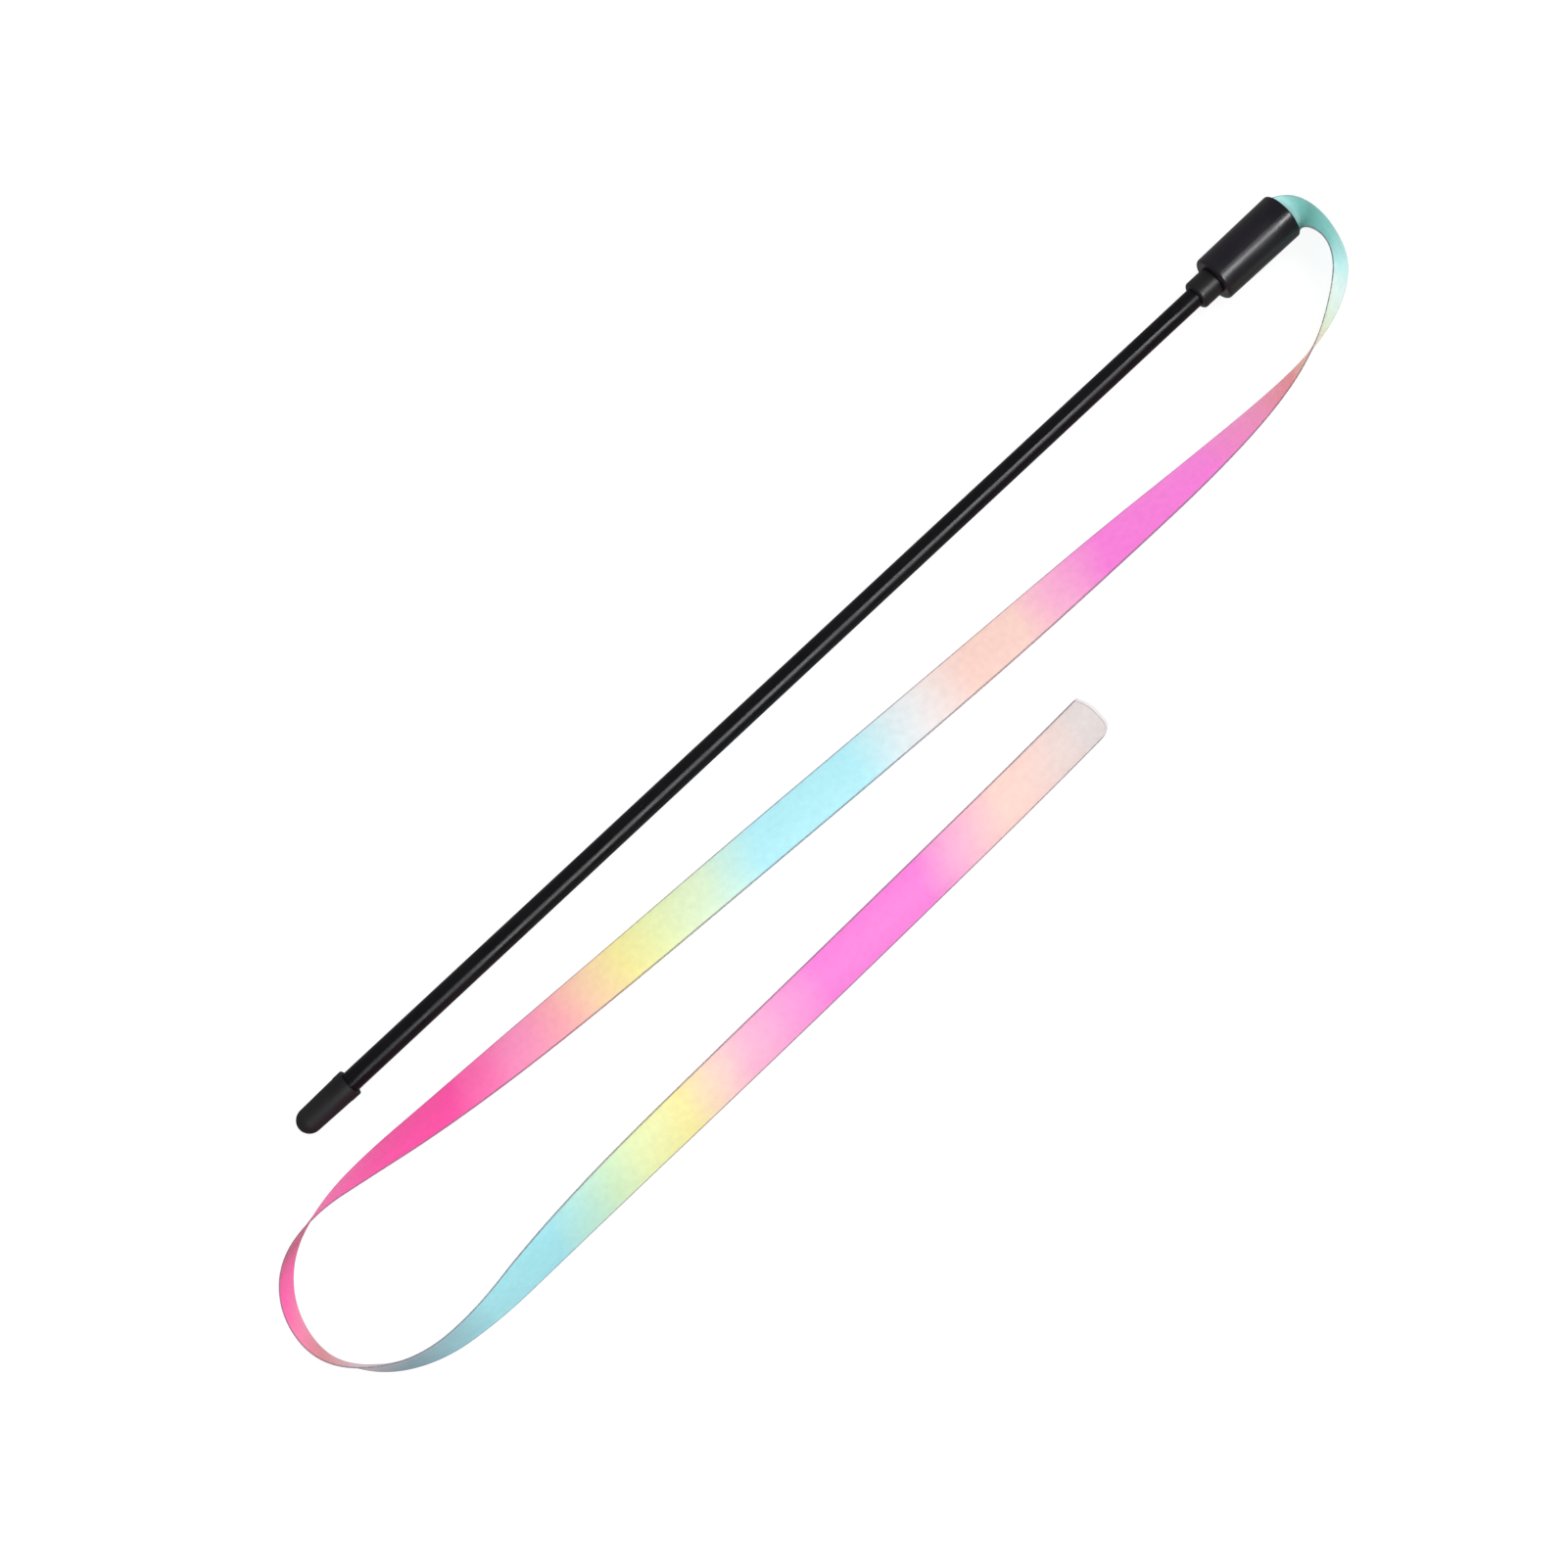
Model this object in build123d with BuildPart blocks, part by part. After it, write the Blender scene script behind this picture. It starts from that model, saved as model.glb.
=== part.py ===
from build123d import *
from math import cos, radians, sin, sqrt
import os

# Ribbon wand. +X runs along the wand from the tail cap to the head, +Z is up, and the origin is the
# middle of the wand, on its axis. All sizes are in millimetres.

# Wand
wand_length = 400.0
tail_x = -wand_length / 2
front_x = wand_length / 2

# Rod: a slim tapered stick with a straight seat for the tail cap and a straight journal for the head
rod_tail_r = 3.35
rod_tip_r = 3.1
rod_start_x = tail_x + 4.0
rod_taper_end_x = 158.0
journal_r = 2.75
pilot_r = 1.45
pilot_depth = 13.0

# Tail cap: a push-on cover with a domed end and a thicker lip at its mouth
cap_end_r = 4.1
cap_mouth_r = 4.4
cap_lip_r = 4.5
cap_lip_length = 3.0
cap_length = 20.5

# Neck collar: fixed on the rod, right behind the head
collar_r = 4.65
collar_x = 164.6
collar_length = 7.0
collar_edge = 1.0

# Head: a hollow sleeve that turns on the journal
head_gap = 0.2
head_x = collar_x + collar_length + head_gap
head_rear_r = 7.4
head_front_r = 7.65
head_edge = 1.0
web_thickness = 3.4
head_bore_r = 6.7
bearing_clearance = 0.05
rim_edge = 0.4

# Swivel: washer and pan-head screw that keep the head on the journal
journal_end_x = head_x + web_thickness + head_gap
washer_r = 4.6
washer_thickness = 0.8
screw_head_r = 2.9
screw_head_height = 2.0
screw_slot_width = 0.8
screw_slot_depth = 1.0

# Plug: two half-round jaws that pinch the ribbon's root
plug_x = 185.0
plug_front_x = front_x - 3.5
plug_edge = 0.5
jaw_gap = 0.6

# Ribbon: a satin strip, gathered a little where the plug holds it
ribbon_width = 15.0
ribbon_thickness = 0.5
root_width = 12.0
root_x = 186.0
gathered_length = front_x - root_x + 2.0
full_width_at = gathered_length + 12.0
end_corner_r = 3.0
resting_gap = 0.5
steps_per_span = 5
steps_in_last_span = 30

# The ribbon's route. Roll 0 lies flat with the first face up, 90 stands on edge with that face to the
# left of the way it runs, and 180 lies flat with the second face up. First x, y, z and roll, from the
# plug to where the ribbon comes down.
ribbon_mouth_route = [
    (root_x, 0.0, 0.0, 0),
    (193.0, 0.0, 0.0, 0),
    (200.5, 0.0, 0.0, 0),
    (205.9, -3.3, -0.3, 42),
    (207.9, -12.6, -0.6, 57),
    (204.4, -22.4, -0.9, 57),
]

# Then x, y and roll, where the strip's lower edge rests on the surface that the wand lies on.
ribbon_lying_route = [
    (193.5, -30.0, 65),
    (178.5, -35.5, 86),
    (160.0, -38.2, 107),
    (132.0, -38.6, 126),
    (95.0, -37.3, 143),
    (50.0, -36.0, 157),
    (0.0, -33.8, 162),
    (-48.0, -31.4, 162),
    (-95.0, -29.3, 155),
    (-135.0, -27.0, 145),
    (-168.0, -24.4, 129),
    (-191.0, -21.8, 114),
    (-210.0, -20.6, 96),
    (-227.5, -24.8, 86),
    (-238.5, -37.0, 89),
    (-241.0, -54.0, 98),
    (-232.0, -68.3, 111),
    (-216.0, -77.0, 116),
    (-195.5, -78.6, 124),
    (-172.0, -76.6, 142),
    (-140.0, -75.2, 159),
    (-100.0, -74.6, 168),
    (-55.0, -73.9, 173),
    (-8.0, -72.9, 174),
    (30.0, -72.0, 172),
    (60.0, -70.8, 170),
]


def surface_height(x):
    """The surface touches the head's front rim and the tail cap's lip."""
    rim_x = front_x - rim_edge
    lip_x = tail_x + cap_length
    return -head_front_r + (head_front_r - cap_lip_r) * (rim_x - x) / (rim_x - lip_x)


def resting(x, y, roll):
    """A point of the route at the height where the strip's lower edge is just above the surface."""
    return x, y, surface_height(x) + ribbon_width / 2 * sin(radians(roll)) + resting_gap, roll


ribbon_route = ribbon_mouth_route + [resting(*point) for point in ribbon_lying_route]


def midway(a, b):
    return tuple((p + q) / 2 for p, q in zip(a, b))


def blend(a, b, c, t):
    """A point and its direction on the curved span from a to c that b pulls toward itself."""
    point = tuple((1 - t) ** 2 * p + 2 * t * (1 - t) * q + t * t * r for p, q, r in zip(a, b, c))
    ahead = tuple((1 - t) * (q - p) + t * (r - q) for p, q, r in zip(a, b, c))
    return point, ahead


def ribbon_stations():
    """Centre, direction of travel and roll along the ribbon, span after span."""
    stations = []
    last = len(ribbon_route) - 2
    for i in range(1, last + 1):
        pull = ribbon_route[i]
        start = ribbon_route[0] if i == 1 else midway(ribbon_route[i - 1], pull)
        end = ribbon_route[-1] if i == last else midway(pull, ribbon_route[i + 1])
        steps = steps_per_span if i < last else steps_in_last_span
        for k in range(steps + (i == last)):
            (*centre, roll), (*ahead, _) = blend(start, pull, end, k / steps)
            stations.append((Vector(*centre), Vector(*ahead).normalized(), radians(roll)))
    return stations


def strip_width(travelled, left):
    """Gathered at the root, full width along its run, with round corners at the free end."""
    if travelled < full_width_at:
        share = max(0.0, (travelled - gathered_length) / (full_width_at - gathered_length))
        return root_width + (ribbon_width - root_width) * share
    if left < end_corner_r:
        corner = end_corner_r - sqrt(end_corner_r**2 - (end_corner_r - left) ** 2)
        return ribbon_width - 2 * corner
    return ribbon_width


def widest_edge(part, end):
    """The outermost round edge at one end of a turned part: 0 is the tail side, -1 the front."""
    rings = part.edges().filter_by(GeomType.CIRCLE)
    return rings.group_by(Axis.X)[end].sort_by(SortBy.RADIUS)[-1]


# The rod, with a pilot hole for the swivel screw in its journal.
collar_front_x = collar_x + collar_length
with BuildPart() as rod:
    with BuildSketch(Plane.XZ):
        with BuildLine():
            Polyline(
                (rod_start_x, 0),
                (rod_start_x, rod_tail_r),
                (tail_x + cap_length, rod_tail_r),
                (rod_taper_end_x, rod_tip_r),
                (collar_front_x, rod_tip_r),
                (collar_front_x, journal_r),
                (journal_end_x, journal_r),
                (journal_end_x, pilot_r),
                (journal_end_x - pilot_depth, pilot_r),
                (journal_end_x - pilot_depth, 0),
                close=True,
            )
        make_face()
    revolve(axis=Axis.X)
rod.part.label = "rod"

# The tail cap: its outline is a dome, a slight taper and a straight lip around the rod.
dome_x = tail_x + cap_end_r
lip_x = tail_x + cap_length - cap_lip_length
with BuildPart() as tail_cap:
    with BuildSketch(Plane.XZ):
        with BuildLine():
            RadiusArc((tail_x, 0), (dome_x, cap_end_r), cap_end_r)
            Polyline(
                (dome_x, cap_end_r),
                (lip_x, cap_mouth_r),
                (lip_x, cap_lip_r),
                (tail_x + cap_length, cap_lip_r),
                (tail_x + cap_length, rod_tail_r),
                (rod_start_x, rod_tail_r),
                (rod_start_x, 0),
                (tail_x, 0),
            )
        make_face()
    revolve(axis=Axis.X)
tail_cap.part.label = "tail_cap"

# The neck collar: a plain ring with a rounded rear edge.
with BuildPart() as neck_collar:
    with BuildSketch(Plane.XZ):
        with BuildLine():
            Polyline(
                (collar_x, rod_tip_r),
                (collar_x, collar_r),
                (collar_front_x, collar_r),
                (collar_front_x, rod_tip_r),
                close=True,
            )
        make_face()
    revolve(axis=Axis.X)
    fillet(widest_edge(neck_collar, 0), collar_edge)
neck_collar.part.label = "neck_collar"

# The head: a web that runs on the journal, a screw pocket and a wider bore that holds the plug.
web_front_x = head_x + web_thickness
bearing_r = journal_r + bearing_clearance
pocket_r = head_bore_r - 0.5
with BuildPart() as head_shell:
    with BuildSketch(Plane.XZ):
        with BuildLine():
            Polyline(
                (head_x, bearing_r),
                (head_x, head_rear_r),
                (front_x, head_front_r),
                (front_x, head_bore_r),
                (plug_x, head_bore_r),
                (plug_x, pocket_r),
                (web_front_x, pocket_r),
                (web_front_x, bearing_r),
                close=True,
            )
        make_face()
    revolve(axis=Axis.X)
    fillet(widest_edge(head_shell, 0), head_edge)
    fillet(widest_edge(head_shell, -1), rim_edge)
head_shell.part.label = "head_shell"

# The swivel washer stands on the journal's end, just clear of the web.
washer_front_x = journal_end_x + washer_thickness
with BuildPart() as swivel_washer:
    with BuildSketch(Plane.YZ.offset(journal_end_x)):
        Circle(washer_r)
        Circle(pilot_r + 0.1, mode=Mode.SUBTRACT)
    extrude(amount=washer_thickness)
swivel_washer.part.label = "swivel_washer"

# The swivel screw: a slotted pan head on a plain shank.
shank_end_x = journal_end_x - pilot_depth + 0.5
with BuildPart() as swivel_screw:
    with BuildSketch(Plane.XZ):
        with BuildLine():
            Polyline(
                (shank_end_x, 0),
                (shank_end_x, pilot_r),
                (washer_front_x, pilot_r),
                (washer_front_x, screw_head_r),
                (washer_front_x + screw_head_height, screw_head_r),
                (washer_front_x + screw_head_height, 0),
                close=True,
            )
        make_face()
    revolve(axis=Axis.X)
    fillet(widest_edge(swivel_screw, -1), screw_head_height * 0.4)
    with BuildSketch(Plane.YZ.offset(washer_front_x + screw_head_height)):
        Rectangle(2 * screw_head_r + 1, screw_slot_width)
    extrude(amount=-screw_slot_depth, mode=Mode.SUBTRACT)
swivel_screw.part.label = "swivel_screw"


def plug_jaw(side):
    """One half-round jaw, above the ribbon for side 1 and below it for side -1."""
    with BuildPart() as jaw:
        with BuildSketch(Plane.YZ.offset(plug_x)):
            Circle(head_bore_r)
            with Locations((0, side * (jaw_gap / 2 - head_bore_r))):
                Rectangle(2 * head_bore_r + 1, 2 * head_bore_r, mode=Mode.SUBTRACT)
        extrude(amount=plug_front_x - plug_x)
        fillet(widest_edge(jaw, -1), plug_edge)
    return jaw.part


plug_upper = plug_jaw(1)
plug_upper.label = "plug_upper"
plug_lower = plug_jaw(-1)
plug_lower.label = "plug_lower"

# The ribbon: a thin strip through a row of cross-sections that turn with the roll.
stations = ribbon_stations()
hops = [(b[0] - a[0]).length for a, b in zip(stations, stations[1:])]
ribbon_length = sum(hops)
with BuildPart() as ribbon:
    travelled = 0.0
    for (centre, ahead, roll), hop in zip(stations, [0.0] + hops):
        travelled += hop
        left = Vector(0, 0, 1).cross(ahead).normalized()
        across = left * cos(roll) - ahead.cross(left) * sin(roll)
        with BuildSketch(Plane(origin=centre, x_dir=across, z_dir=ahead)):
            Rectangle(strip_width(travelled, ribbon_length - travelled), ribbon_thickness)
    loft(ruled=True)
ribbon.part.label = "ribbon"

os.makedirs("parts", exist_ok=True)
pieces = [
    rod.part,
    tail_cap.part,
    neck_collar.part,
    head_shell.part,
    swivel_washer.part,
    swivel_screw.part,
    plug_upper,
    plug_lower,
    ribbon.part,
]
for piece in pieces:
    export_step(piece, f"parts/{piece.label}.step")
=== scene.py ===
"""The looks of the ribbon wand: a satin ribbon laid in one loose loop, and each hard piece's finish.

All sizes are in metres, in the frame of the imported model: +X from the tail cap to the head, +Z up.
"""

from math import cos, pi, radians, sin

import bpy
import numpy as np
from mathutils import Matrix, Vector


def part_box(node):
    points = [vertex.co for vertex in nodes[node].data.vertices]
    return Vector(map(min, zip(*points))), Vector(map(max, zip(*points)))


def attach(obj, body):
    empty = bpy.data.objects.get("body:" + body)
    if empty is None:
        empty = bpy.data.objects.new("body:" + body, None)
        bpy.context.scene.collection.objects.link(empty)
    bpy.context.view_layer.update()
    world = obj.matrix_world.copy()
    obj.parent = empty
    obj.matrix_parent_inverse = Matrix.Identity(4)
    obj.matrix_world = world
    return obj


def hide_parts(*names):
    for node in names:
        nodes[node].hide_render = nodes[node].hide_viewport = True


MM = 0.001

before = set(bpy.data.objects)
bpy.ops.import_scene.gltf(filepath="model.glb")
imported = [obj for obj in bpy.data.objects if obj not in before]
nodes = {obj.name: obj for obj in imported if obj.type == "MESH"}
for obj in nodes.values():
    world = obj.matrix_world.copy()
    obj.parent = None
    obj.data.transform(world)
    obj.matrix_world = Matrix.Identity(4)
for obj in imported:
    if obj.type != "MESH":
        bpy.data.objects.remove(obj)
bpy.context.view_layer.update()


# Camera ------------------------------------------------------------------------------------------

CAMERA_PLACE = (-0.0241, -0.0229, 0.631)
CAMERA_TURN = radians(-42.92)
LENS_MM = 48.57


def make_camera():
    """Straight down on the middle of the wand, turned so that the wand rises to the upper right."""
    data = bpy.data.cameras.new("camera")
    data.lens = LENS_MM
    data.clip_start = 0.01
    camera = bpy.data.objects.new("camera", data)
    camera.location = CAMERA_PLACE
    camera.rotation_euler = (0, 0, CAMERA_TURN)
    bpy.context.scene.collection.objects.link(camera)
    bpy.context.scene.camera = camera


make_camera()


# Surface -----------------------------------------------------------------------------------------

# The wand lies on a surface that touches the head's front rim and the tail cap's lip.
head_low, head_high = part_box("head_shell")
tail_low, tail_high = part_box("tail_cap")
SURFACE_SLOPE = (tail_low.z - head_low.z) / (tail_high.x - head_high.x)


def surface_height(x):
    return head_low.z + SURFACE_SLOPE * (x - head_high.x)


# Ribbon ------------------------------------------------------------------------------------------

RIBBON_WIDTH = 15 * MM

# The route's control points, in millimetres and degrees. Roll 0 lies flat with the first face up, 90
# stands on edge, and 180 lies flat with the second face up. First x, y, z and roll, from the plug to
# where the ribbon comes down.
MOUTH_ROUTE = [
    (186.0, 0.0, 0.0, 0),
    (193.0, 0.0, 0.0, 0),
    (200.5, 0.0, 0.0, 0),
    (205.9, -3.3, -0.3, 42),
    (207.9, -12.6, -0.6, 57),
    (204.4, -22.4, -0.9, 57),
]

# Then x, y and roll, where the strip's lower edge rests on the surface that the wand lies on.
LYING_ROUTE = [
    (193.5, -30.0, 65),
    (178.5, -35.5, 86),
    (160.0, -38.2, 107),
    (132.0, -38.6, 126),
    (95.0, -37.3, 143),
    (50.0, -36.0, 157),
    (0.0, -33.8, 162),
    (-48.0, -31.4, 162),
    (-95.0, -29.3, 155),
    (-135.0, -27.0, 145),
    (-168.0, -24.4, 129),
    (-191.0, -21.8, 114),
    (-210.0, -20.6, 96),
    (-227.5, -24.8, 86),
    (-238.5, -37.0, 89),
    (-241.0, -54.0, 98),
    (-232.0, -68.3, 111),
    (-216.0, -77.0, 116),
    (-195.5, -78.6, 124),
    (-172.0, -76.6, 142),
    (-140.0, -75.2, 159),
    (-100.0, -74.6, 168),
    (-55.0, -73.9, 173),
    (-8.0, -72.9, 174),
    (30.0, -72.0, 172),
    (60.0, -70.8, 170),
]
RESTING_GAP = 0.5 * MM  # from the strip's lower edge to the surface
SMOOTHNESS = 48  # points that the spline gives for each of its control points

STEP = 1.1 * MM
FINE_STEP = 0.12 * MM
FINE_LENGTH = 9 * MM  # the free end's outline needs the fine steps

ROOT_CHORD = 12 * MM
HALF_THICKNESS = 0.13 * MM
SELVEDGE = [(0.0, 0.0), (0.06, 0.11), (0.2, 0.19), (0.4, 0.19), (0.6, 0.13)]  # mm from edge, mm thick
INNER_COLUMNS = 13
# How far the middle of the strip stands above its edges, toward the first face, at distances from the
# root, in millimetres: flat in the plug, arched in the mouth, crowned the other way on both straight
# legs, and arched again round the loop between them.
CROWN = [
    (0, 0), (10.5, 0), (16, 3.4), (20, 2.8), (32, 0.8), (45, 0.2), (75, 0), (130, -0.9), (200, -1.3),
    (340, -1.3), (400, -0.4), (470, 0), (500, 0.6), (525, 1.4), (550, 0.6), (600, -0.9), (660, -1.3),
    (815, -1.4),
]


def resting(x, y, roll):
    """A point of the route at the height where the strip's lower edge is just above the surface."""
    rise = RIBBON_WIDTH / 2 * sin(radians(roll)) + RESTING_GAP
    return x, y, (surface_height(x * MM) + rise) / MM, roll


ROUTE = MOUTH_ROUTE + [resting(*point) for point in LYING_ROUTE]


def spline_points(name, controls):
    """The points of a smooth open spline through its control points, read back from Blender."""
    data = bpy.data.curves.new(name, "CURVE")
    data.dimensions = "3D"
    data.resolution_u = SMOOTHNESS
    spline = data.splines.new("NURBS")
    spline.points.add(len(controls) - 1)
    for point, control in zip(spline.points, controls):
        point.co = (*control, 1)
    spline.order_u = 3
    spline.use_endpoint_u = True
    holder = bpy.data.objects.new(name, data)
    mesh = bpy.data.meshes.new_from_object(holder)
    points = np.array([v.co for v in mesh.vertices], float)
    bpy.data.meshes.remove(mesh)
    bpy.data.objects.remove(holder)
    bpy.data.curves.remove(data)
    return points


def along_of(points):
    return np.concatenate([[0], np.cumsum(np.linalg.norm(np.diff(points, axis=0), axis=1))])


def unit(vectors):
    return vectors / np.linalg.norm(vectors, axis=1)[:, None]


def smooth(t):
    t = np.clip(t, 0, 1)
    return t * t * (3 - 2 * t)


class Route:
    """The ribbon's centreline, and which way its width and its first face point along it."""

    def __init__(self):
        self.points = spline_points("ribbon_route", [(x * MM, y * MM, z * MM) for x, y, z, _ in ROUTE])
        roll = np.radians(spline_points("ribbon_roll", [(r, 0, 0) for *_, r in ROUTE])[:, :1])
        self.along = along_of(self.points)
        self.length = self.along[-1]
        ahead = unit(np.gradient(self.points, axis=0))
        left = unit(np.cross((0, 0, 1), ahead))
        self.across = left * np.cos(roll) - np.cross(ahead, left) * np.sin(roll)
        self.face = np.cross(ahead, self.across)

    def at(self, places):
        """Centre, across and face vectors at these distances from the root."""
        return [
            np.stack([np.interp(places, self.along, values[:, k]) for k in range(3)], axis=-1)
            for values in (self.points, self.across, self.face)
        ]


def end_setback(v):
    """How far the heat-cut end stands back from the tip at v, from -1 to 1 across the strip, in mm."""
    blunt = 2.0 * np.clip((-v - 0.1) / 0.9, 0, 1) ** 2
    t = np.clip((v - 0.3) / 0.7, 0, 1) ** 2.6
    return blunt + 6.0 * (1 - (1 - t) ** (1 / 2.6))


def strip_outline():
    """Columns across the strip: share of the half width, distance in from the edge, half thickness."""
    half = RIBBON_WIDTH / 2
    rim = [(half - d * MM, t * MM) for d, t in SELVEDGE]
    inner_half = rim[-1][0]
    inner = [(inner_half * sin(pi / 2 * k / (INNER_COLUMNS + 1)), HALF_THICKNESS)
             for k in range(-INNER_COLUMNS, INNER_COLUMNS + 1)]
    columns = [(-y, t) for y, t in rim] + inner + [(y, t) for y, t in reversed(rim)]
    return np.array(columns)


def stations(length):
    """Distances from the root at which the strip has a cross-section, closer together at the tip."""
    coarse = np.arange(0, length - FINE_LENGTH, STEP)
    fine = np.arange(length - FINE_LENGTH, length, FINE_STEP)
    return np.concatenate([coarse, fine, [length]])


def ribbon_grid(route):
    """Places of the middle surface's points, their first face's direction, their half thickness, and
    the marks that the material reads: distance from the root, across the strip, and from the free end."""
    columns = strip_outline()
    s = stations(route.length)[:, None]
    y = columns[None, :, 0]
    v = y / (RIBBON_WIDTH / 2)
    tail = smooth((s - (route.length - 12 * MM)) / (12 * MM))
    place = s - end_setback(v) * MM * tail
    crown = np.interp(s, [d * MM for d, _ in CROWN], [h * MM for _, h in CROWN])
    chord = RIBBON_WIDTH - 8 / 3 * crown**2 / RIBBON_WIDTH
    root = smooth((s - 9 * MM) / (8 * MM))
    chord = ROOT_CHORD * (1 - root) + chord * root
    centre, across, face = route.at(place)
    middle = centre + across * (v * chord / 2)[..., None] + face * (crown * (1 - v**2))[..., None]
    left_over = route.length - s
    seal = 1 + 0.45 * np.exp(-(((left_over - 0.45 * MM) / (0.3 * MM)) ** 2))
    edge = np.sqrt(np.clip(1 - np.clip(1 - left_over / (0.25 * MM), 0, 1) ** 2, 0.0004, 1))
    thick = columns[None, :, 1] * seal * edge
    marks = [np.broadcast_to(values, place.shape) for values in (place, y, left_over)]
    return middle, face, thick, marks


def make_ribbon(route):
    """A closed strip: one layer of points above the middle surface and one below, joined at the edges."""
    middle, face, thick, marks = ribbon_grid(route)
    upper = middle + face * thick[..., None]
    lower = middle - face * thick[..., None]
    rings = np.concatenate([upper, lower[:, -2:0:-1]], axis=1)
    count, around = rings.shape[:2]
    columns = middle.shape[1]
    index = np.arange(count * around).reshape(count, around)
    after = np.roll(index, -1, axis=1)
    sides = np.stack([index[:-1], index[1:], after[1:], after[:-1]], axis=-1).reshape(-1, 4)
    faces = sides.tolist() + end_faces(index[0], columns, False) + end_faces(index[-1], columns, True)
    mesh = bpy.data.meshes.new("ribbon_strip")
    mesh.from_pydata(rings.reshape(-1, 3).tolist(), [], faces)
    mesh.validate()
    for name, values in zip(("along", "across", "to_end"), marks):
        both_layers = np.concatenate([values, values[:, -2:0:-1]], axis=1)
        attribute = mesh.attributes.new(name, "FLOAT", "POINT")
        attribute.data.foreach_set("value", both_layers.astype(np.float32).ravel())
    mesh.shade_smooth()
    strip = bpy.data.objects.new("ribbon_strip", mesh)
    bpy.context.scene.collection.objects.link(strip)
    return strip


def end_faces(ring, columns, flip):
    """Quads and two triangles that close one end of the strip between its upper and lower layer."""
    upper = [int(i) for i in ring[:columns]]
    lower = [upper[0]] + [int(i) for i in ring[:columns - 1:-1]] + [upper[-1]]
    faces = []
    for k in range(columns - 1):
        face = [upper[k], upper[k + 1], lower[k + 1], lower[k]]
        face = list(dict.fromkeys(face))
        faces.append(face[::-1] if flip else face)
    return faces


route = Route()
ribbon = make_ribbon(route)
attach(ribbon, "head")
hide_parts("ribbon")


# Materials ---------------------------------------------------------------------------------------


def new_material(name, **constants):
    """A material with one Principled shader, whose sockets are given by name with _ for a space."""
    material = bpy.data.materials.new(name)
    material.use_nodes = True
    shader = material.node_tree.nodes["Principled BSDF"]
    for socket, value in constants.items():
        shader.inputs[socket.replace("_", " ")].default_value = value
    return material


def add(material, kind, inputs=None, **settings):
    """A new node, its settings, and its inputs: each is a number, a colour or another node's output."""
    node = material.node_tree.nodes.new(kind)
    for name, value in settings.items():
        setattr(node, name, value)
    for socket, value in (inputs or {}).items():
        wire(material, value, node.inputs[socket])
    return node


def wire(material, value, socket):
    if isinstance(value, bpy.types.NodeSocket):
        material.node_tree.links.new(value, socket)
    else:
        socket.default_value = value


def shade(material, **sockets):
    shader = material.node_tree.nodes["Principled BSDF"]
    for socket, value in sockets.items():
        wire(material, value, shader.inputs[socket.replace("_", " ")])


def math(material, operation, a, b=0.0):
    return add(material, "ShaderNodeMath", {0: a, 1: b}, operation=operation).outputs[0]


def mapped(material, value, low, high, to_low=0.0, to_high=1.0):
    inputs = {"Value": value, "From Min": low, "From Max": high, "To Min": to_low, "To Max": to_high}
    return add(material, "ShaderNodeMapRange", inputs).outputs[0]


def mixed(material, share, a, b, blend="MIX"):
    settings = {"data_type": "RGBA", "blend_type": blend}
    return add(material, "ShaderNodeMix", {0: share, 6: a, 7: b}, **settings).outputs[2]


def place_in_frame(material, scale=(1, 1, 1)):
    coordinates = add(material, "ShaderNodeTexCoord").outputs["Object"]
    return add(material, "ShaderNodeMapping", {"Vector": coordinates, "Scale": scale}).outputs[0]


def noise(material, vector, scale, detail=3.0, roughness=0.5):
    inputs = {"Vector": vector, "Scale": scale, "Detail": detail, "Roughness": roughness}
    return add(material, "ShaderNodeTexNoise", inputs).outputs[0]


def bump(material, height, depth, strength=1.0, normal=None):
    inputs = {"Height": height, "Distance": depth, "Strength": strength}
    if normal is not None:
        inputs["Normal"] = normal
    return add(material, "ShaderNodeBump", inputs).outputs[0]


def linear(colour):
    """A colour as it looks on screen, 0 to 255 a channel, as the light it stands for."""
    shares = [c / 255 for c in colour]
    return tuple(c / 12.92 if c <= 0.04045 else ((c + 0.055) / 1.055) ** 2.4 for c in shares) + (1.0,)


# The dyes, as they look under a white light, and where along the ribbon each is at its purest, in
# millimetres from the mouth of the head. Between two of them one fades into the other. Not all are
# dye: a few are painted shade or a painted highlight, marked below.
DYES_AND_PAINTED_LIGHT = {
    # Partly painted shade: the deepest teal stands for the fold in shade just out of the mouth as well as
    # the print.
    "deep_teal_partly_painted_shade": (90, 154, 145),
    "teal": (116, 186, 180),
    "aqua": (182, 234, 232),
    "ice": (222, 244, 238),
    "mint": (222, 243, 210),
    "lime": (233, 242, 182),
    "lemon": (245, 234, 160),
    "peach": (251, 208, 178),
    "shell": (252, 212, 202),
    "pearl": (238, 236, 236),
    "sky": (182, 238, 248),
    "salmon": (248, 140, 146),
    "coral": (253, 174, 182),
    "blush": (252, 182, 212),
    "rose": (250, 146, 192),
    "orchid": (250, 130, 218),
    "hot_pink": (253, 78, 166),
    # The next five are painted shade: darker, duller tints for the loop where the strip stands on edge and
    # turns away from the light.
    "crimson_painted_shade": (198, 50, 106),
    "blossom_painted_shade": (240, 122, 165),
    "mauve_painted_shade": (201, 125, 130),
    "dusk_painted_shade": (200, 184, 186),
    "slate_painted_shade": (129, 158, 170),
    # The next two are partly painted shade, for the same turned-away stretch of the loop.
    "lagoon_partly_painted_shade": (162, 223, 231),
    "sage_partly_painted_shade": (206, 234, 196),
    "sealed": (222, 213, 211),
}
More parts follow.
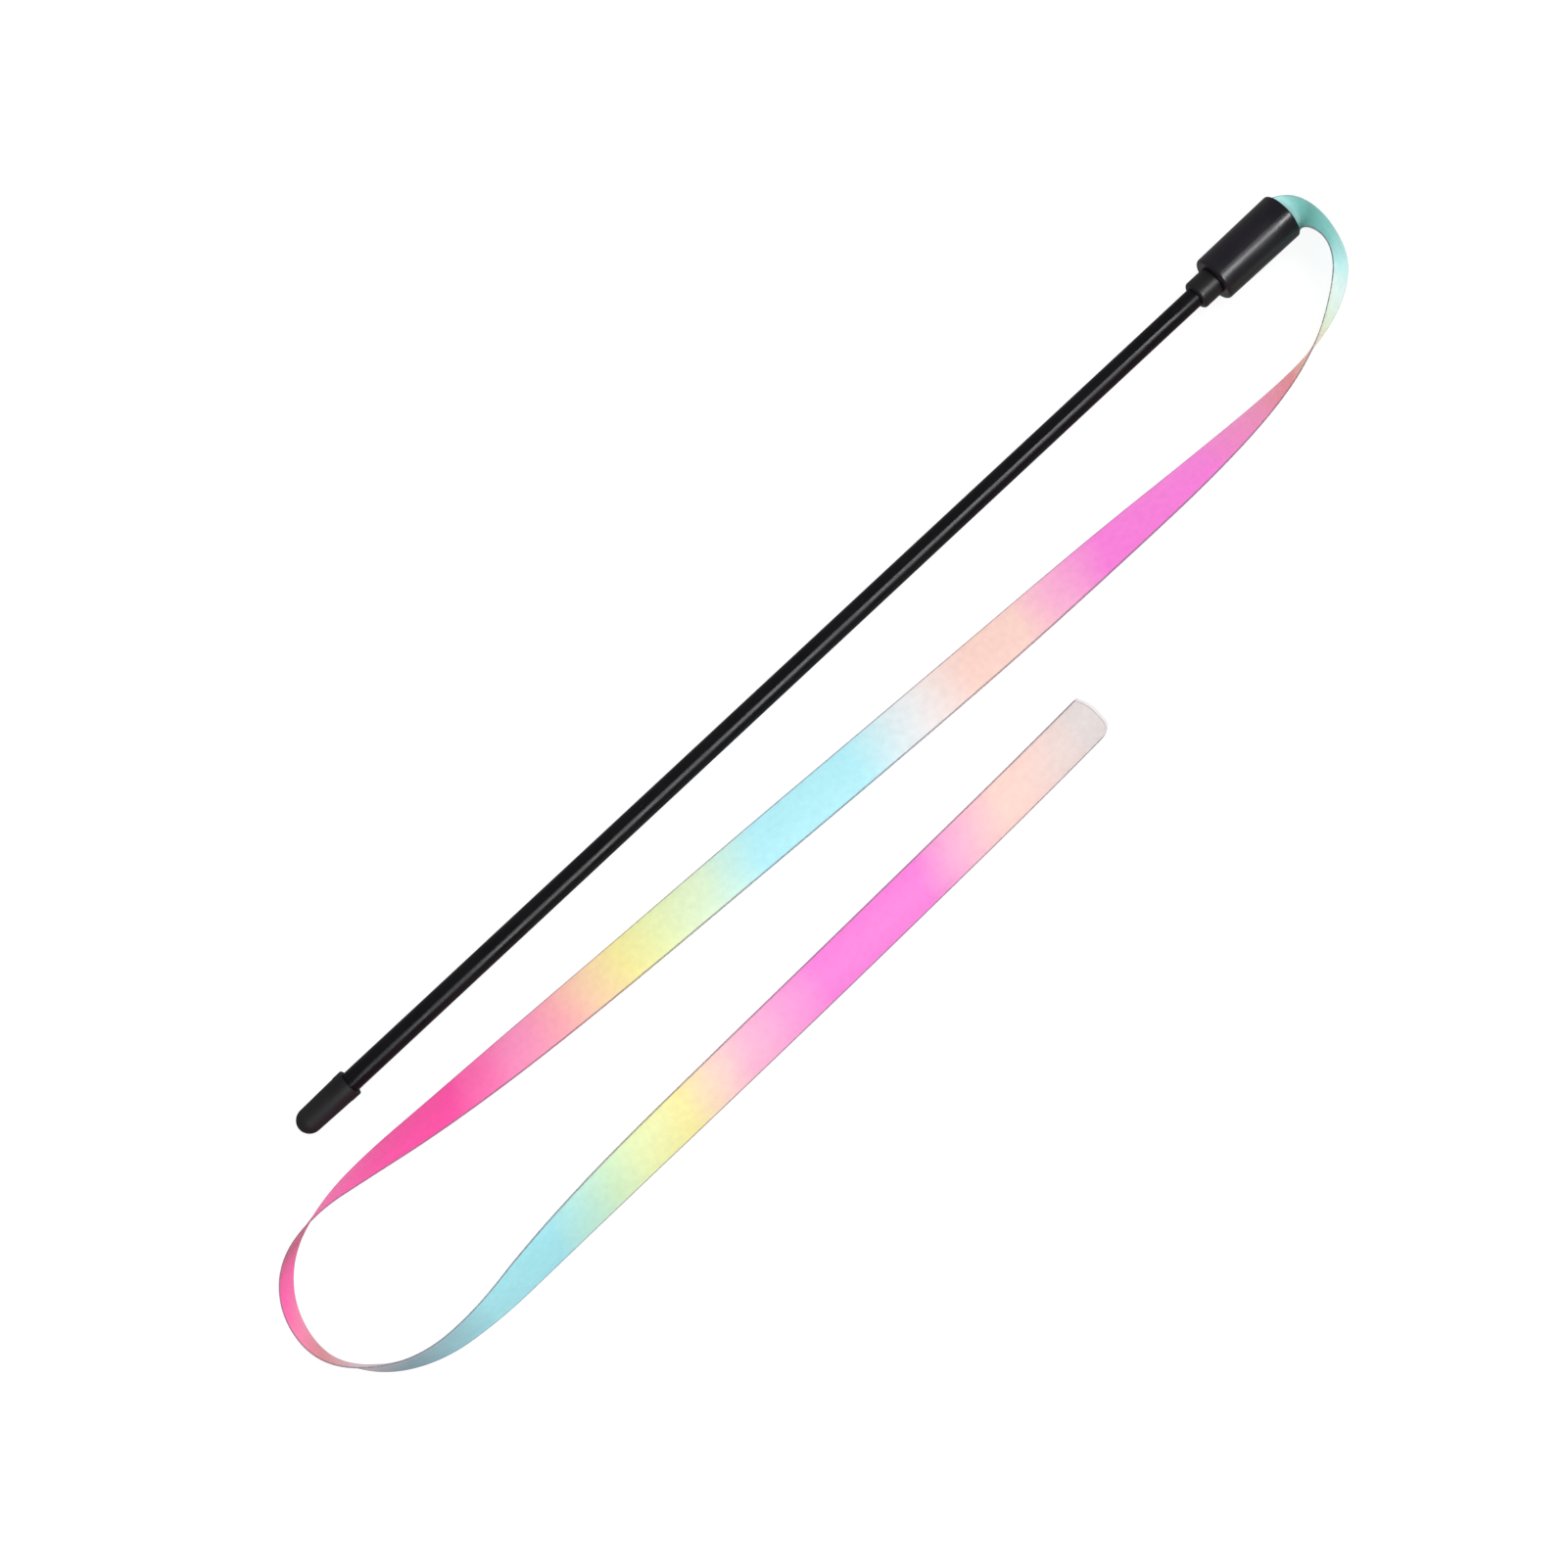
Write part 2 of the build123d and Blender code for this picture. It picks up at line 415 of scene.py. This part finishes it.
DYE_AND_PAINTED_LIGHT_STOPS = [
    # At 1 mm the pale stop is a painted highlight along the mouth's rim, and at 8 mm the deepest teal is
    # partly painted shade in the fold; from 456 to 522 the stops, all but the hot pink at 470, are painted
    # shade round the loop, and from 550 to 602 partly.
    (-14, "deep_teal_partly_painted_shade"), (-2, "teal"), (1, "aqua"), (4, "teal"), (8, "deep_teal_partly_painted_shade"), (17, "teal"),
    (26, "aqua"), (35, "ice"), (45, "mint"), (54, "peach"), (63, "salmon"), (79, "rose"),
    (100, "orchid"), (140, "orchid"), (160, "blush"), (175, "shell"), (194, "shell"), (214, "pearl"),
    (238, "sky"), (276, "sky"), (298, "mint"), (315, "lime"), (329, "lemon"), (343, "peach"),
    (354, "coral"), (370, "rose"), (394, "hot_pink"), (442, "hot_pink"), (456, "crimson_painted_shade"),
    (470, "hot_pink"), (485, "blossom_painted_shade"), (495, "mauve_painted_shade"), (506, "dusk_painted_shade"), (522, "slate_painted_shade"), (550, "lagoon_partly_painted_shade"),
    (578, "lagoon_partly_painted_shade"), (602, "sage_partly_painted_shade"), (616, "lime"), (632, "lemon"), (646, "shell"), (660, "blush"),
    (690, "orchid"), (730, "orchid"), (747, "blush"), (762, "shell"), (772, "shell"), (797, "sealed"),
    (803, "sealed"),
]
MOUTH_AT = 14 * MM  # the mouth's distance from the ribbon's root


def dye_and_painted_light_ramp(material, place, stops):
    """The dyes of one stretch of the ribbon, and the painted shade and highlight among them, faded into
    each other.
    """
    first, last = (at * MM + MOUTH_AT for at, _ in (stops[0], stops[-1]))
    share = mapped(material, place, first, last)
    ramp = add(material, "ShaderNodeValToRGB", {0: share})
    elements = ramp.color_ramp.elements
    for _ in stops[2:]:
        elements.new(0.5)
    for element, (at, dye_and_painted_light) in zip(elements, stops):
        element.position = (at * MM + MOUTH_AT - first) / (last - first)
        element.color = linear(DYES_AND_PAINTED_LIGHT[dye_and_painted_light])
    return ramp.outputs[0]


def satin(material):
    along = add(material, "ShaderNodeAttribute", attribute_name="along").outputs["Fac"]
    across = add(material, "ShaderNodeAttribute", attribute_name="across").outputs["Fac"]
    cloth = add(material, "ShaderNodeCombineXYZ", {0: along, 1: across}).outputs[0]

    drift = mapped(material, noise(material, cloth, 60, 1), 0.3, 0.7, -2 * MM, 2 * MM)
    slant = math(material, "MULTIPLY", across, 0.25)
    place = math(material, "ADD", math(material, "ADD", along, drift), slant)
    # The colour along the ribbon: its print, with painted shade round the loop and by the mouth, and a
    # painted highlight at the mouth's rim.
    half = len(DYE_AND_PAINTED_LIGHT_STOPS) // 2
    near = dye_and_painted_light_ramp(material, place, DYE_AND_PAINTED_LIGHT_STOPS[:half + 1])
    far = dye_and_painted_light_ramp(material, place, DYE_AND_PAINTED_LIGHT_STOPS[half:])
    split = DYE_AND_PAINTED_LIGHT_STOPS[half][0] * MM + MOUTH_AT
    dye_and_painted_light = mixed(material, math(material, "GREATER_THAN", place, split), near, far)

    cloud = mapped(material, noise(material, cloth, 420, 3), 0.3, 0.7, 0.955, 1.03)
    yarn = mapped(material, noise(material, cloth, 3200, 2), 0.3, 0.7, 0.975, 1.02)
    tone = math(material, "MULTIPLY", cloud, yarn)
    dye_and_painted_light = mixed(material, 1.0, dye_and_painted_light, tone, "MULTIPLY")

    from_edge = math(material, "SUBTRACT", RIBBON_WIDTH / 2, math(material, "ABSOLUTE", across))
    selvedge = mapped(material, from_edge, 0.3 * MM, 0.6 * MM, 1.0, 0.0)
    stitches = mapped(material, noise(material, cloth, 2600, 2), 0.35, 0.6, 0.45, 0.95)
    dye_and_painted_light = mixed(material, math(material, "MULTIPLY", selvedge, stitches), dye_and_painted_light, (0.2, 0.16, 0.2, 1))

    to_end = add(material, "ShaderNodeAttribute", attribute_name="to_end").outputs["Fac"]
    from_melt_line = math(material, "ABSOLUTE", math(material, "SUBTRACT", to_end, 1.25 * MM))
    melt_line = mapped(material, from_melt_line, 0.05 * MM, 0.22 * MM, 1.0, 0.0)
    melted = mapped(material, to_end, 0.9 * MM, 1.2 * MM, 1.0, 0.0)
    dye_and_painted_light = mixed(material, math(material, "MULTIPLY", melted, 0.7), dye_and_painted_light, (0.86, 0.85, 0.86, 1))
    dye_and_painted_light = mixed(material, math(material, "MULTIPLY", melt_line, stitches), dye_and_painted_light, (0.42, 0.38, 0.42, 1))

    warp = math(material, "SINE", math(material, "MULTIPLY", across, 2 * pi / (0.19 * MM)))
    diagonal = math(material, "ADD", along, math(material, "MULTIPLY", across, 0.9))
    twill = math(material, "SINE", math(material, "MULTIPLY", diagonal, 2 * pi / (0.42 * MM)))
    weave = math(material, "ADD", math(material, "MULTIPLY", warp, 0.5), twill)
    body = bump(material, noise(material, cloth, 45, 2), 1.2 * MM, 0.35)
    normal = bump(material, weave, 0.02 * MM, 0.6, body)
    rough = mapped(material, noise(material, cloth, 900, 3), 0.3, 0.7, 0.36, 0.46)
    shade(material, Base_Color=dye_and_painted_light, Roughness=rough, Normal=normal)


ribbon_material = new_material(
    "satin",
    Specular_IOR_Level=0.22,
    Sheen_Weight=0.2,
    Sheen_Roughness=0.4,
    Subsurface_Weight=0.25,
    Subsurface_Radius=(0.5, 0.5, 0.5),
    Subsurface_Scale=0.001,
)
satin(ribbon_material)
ribbon.data.materials.append(ribbon_material)


# Hard pieces -------------------------------------------------------------------------------------

# Black moulded plastic and rubber, and the steel inside the head. The stretch given to place_in_frame
# draws a pattern out along the wand: the smaller its first number, the longer the streaks.

SCUFFED = (0.03, 0.03, 0.032, 1)


def moulded(name, colour, rough, grain, depth, **constants):
    """Black plastic or rubber: a fine moulded grain, dull patches from handling, and hairline scuffs."""
    material = new_material(name, **constants)
    place = place_in_frame(material)
    patches = mapped(material, noise(material, place, 70, 4), 0.35, 0.65)
    fine = noise(material, place, grain, 3)
    scuffs = mapped(material, noise(material, place_in_frame(material, (0.12, 1, 1)), 1500, 2), 0.66, 0.74)
    tone = mixed(material, patches, colour, tuple(1.35 * c for c in colour[:3]) + (1,))
    worn = mixed(material, math(material, "MULTIPLY", scuffs, 0.16), tone, SCUFFED)
    dull = mapped(material, patches, 0, 1, rough - 0.05, rough + 0.05)
    dull = math(material, "ADD", dull, math(material, "MULTIPLY", scuffs, 0.12))
    normal = bump(material, fine, depth, 0.5)
    normal = bump(material, scuffs, -0.004 * MM, 0.5, normal)
    shade(material, Base_Color=worn, Roughness=dull, Normal=normal)
    return material


def streaked(material, stretch, scale, depth, strength):
    """Adds fine lines to a moulded surface: along the wand as drawn, or round it as turned."""
    lines = noise(material, place_in_frame(material, stretch), scale, 2)
    normal_input = material.node_tree.nodes["Principled BSDF"].inputs["Normal"]
    moulded_normal = normal_input.links[0].from_socket
    wire(material, bump(material, lines, depth, strength, moulded_normal), normal_input)


def plated_steel(name, rings):
    """Zinc-plated steel with brushed lines, round the axis where rings is set and along it elsewhere."""
    material = new_material(name, Metallic=1.0)
    stretch = (1, 0.05, 0.05) if rings else (0.05, 1, 1)
    lines = noise(material, place_in_frame(material, stretch), 5200, 3)
    bloom = mapped(material, noise(material, place_in_frame(material), 700, 3), 0.35, 0.65)
    tone = mixed(material, bloom, (0.56, 0.57, 0.58, 1), (0.68, 0.68, 0.67, 1))
    shade(
        material,
        Base_Color=tone,
        Roughness=mapped(material, lines, 0.3, 0.7, 0.26, 0.42),
        Normal=bump(material, lines, 0.008 * MM, 0.4),
    )
    return material


def dress(node, material):
    """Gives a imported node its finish, in every material slot that it has."""
    for k in range(len(nodes[node].material_slots)):
        nodes[node].material_slots[k].material = material


# Colour, roughness, how fine the grain is, its depth in millimetres, and how strongly it mirrors.
BLACKS = {
    "rod_black": ((0.004, 0.004, 0.005, 1), 0.3, 2600, 0.01, 0.13),
    "cap_black": ((0.008, 0.008, 0.009, 1), 0.58, 1500, 0.05, 0.2),
    "collar_black": ((0.007, 0.007, 0.008, 1), 0.38, 3000, 0.01, 0.28),
    "head_black": ((0.006, 0.005, 0.008, 1), 0.28, 1700, 0.05, 0.34),
    "plug_black": ((0.009, 0.009, 0.01, 1), 0.5, 2400, 0.02, 0.25),
}
black = {
    name: moulded(name, colour, rough, grain, depth * MM, Specular_IOR_Level=mirror)
    for name, (colour, rough, grain, depth, mirror) in BLACKS.items()
}
streaked(black["rod_black"], (0.015, 1, 1), 2100, 0.008 * MM, 0.4)
streaked(black["collar_black"], (1, 0.02, 0.02), 3600, 0.02 * MM, 0.5)

dress("rod", black["rod_black"])
dress("tail_cap", black["cap_black"])
dress("neck_collar", black["collar_black"])
dress("head_shell", black["head_black"])
dress("plug_upper", black["plug_black"])
dress("plug_lower", black["plug_black"])
dress("swivel_washer", plated_steel("washer_zinc", True))
dress("swivel_screw", plated_steel("screw_zinc", False))


# Floor and light ---------------------------------------------------------------------------------

SUN_FROM = Vector((0.65, 0.1, 0.75))
GLEAM_FROM = Vector((0.1, -0.42, 0.9))  # the wand's highlight lies this way from its axis
GLEAM_AWAY = 0.9


def make_floor():
    """A pale sweep that touches the head's rim and the tail cap's lip, and rises far away."""
    rings = [0.0, 0.3, 1.0, 2.0, 2.4, 2.7, 2.9, 3.0, 3.0]
    rise = [0.0, 0.0, 0.0, 0.0, 0.08, 0.28, 0.6, 1.0, 1.7]
    around = 96
    points = [(0, 0, 0)]
    for radius, height in zip(rings[1:], rise[1:]):
        points += [(radius * cos(2 * pi * k / around), radius * sin(2 * pi * k / around), height)
                   for k in range(around)]
    placed = [(x, y, z + surface_height(x)) for x, y, z in points]
    faces = [(0, 1 + k, 1 + (k + 1) % around) for k in range(around)]
    for ring in range(len(rings) - 2):
        start = 1 + ring * around
        for k in range(around):
            after = (k + 1) % around
            faces.append((start + k, start + around + k, start + around + after, start + after))
    mesh = bpy.data.meshes.new("floor")
    mesh.from_pydata(placed, [], faces)
    mesh.shade_smooth()
    floor = bpy.data.objects.new("floor", mesh)
    bpy.context.scene.collection.objects.link(floor)
    paper = new_material("paper", Base_Color=(0.2, 0.2, 0.2, 1), Roughness=0.9, Specular_IOR_Level=0.1)
    shade(paper, Emission_Color=(1, 1, 1, 1), Emission_Strength=0.88)
    mesh.materials.append(paper)
    floor.visible_glossy = False


def make_gleam():
    """A long soft strip of light over the wand, which draws one pale band along the black plastic."""
    data = bpy.data.lights.new("gleam", "AREA")
    data.shape = "RECTANGLE"
    data.size = 0.9
    data.size_y = 0.14
    data.energy = 13
    gleam = bpy.data.objects.new("gleam", data)
    gleam.location = GLEAM_FROM.normalized() * GLEAM_AWAY
    gleam.rotation_euler = GLEAM_FROM.to_track_quat("Z", "Y").to_euler()
    gleam.visible_camera = False
    gleam.visible_diffuse = False
    bpy.context.scene.collection.objects.link(gleam)


def make_light():
    """One broad soft light over the head's side, and an even glow from all round."""
    data = bpy.data.lights.new("key", "SUN")
    data.energy = 2.65
    data.angle = radians(70)
    key = bpy.data.objects.new("key", data)
    key.visible_glossy = False
    key.rotation_euler = SUN_FROM.to_track_quat("Z", "Y").to_euler()
    bpy.context.scene.collection.objects.link(key)
    make_gleam()
    world = bpy.data.worlds.new("room")
    world.use_nodes = True
    world.node_tree.nodes["Background"].inputs["Color"].default_value = (1.0, 1.0, 1.0, 1)
    world.node_tree.nodes["Background"].inputs["Strength"].default_value = 0.3
    bpy.context.scene.world = world
    bpy.context.scene.view_settings.view_transform = "Standard"


make_floor()
make_light()
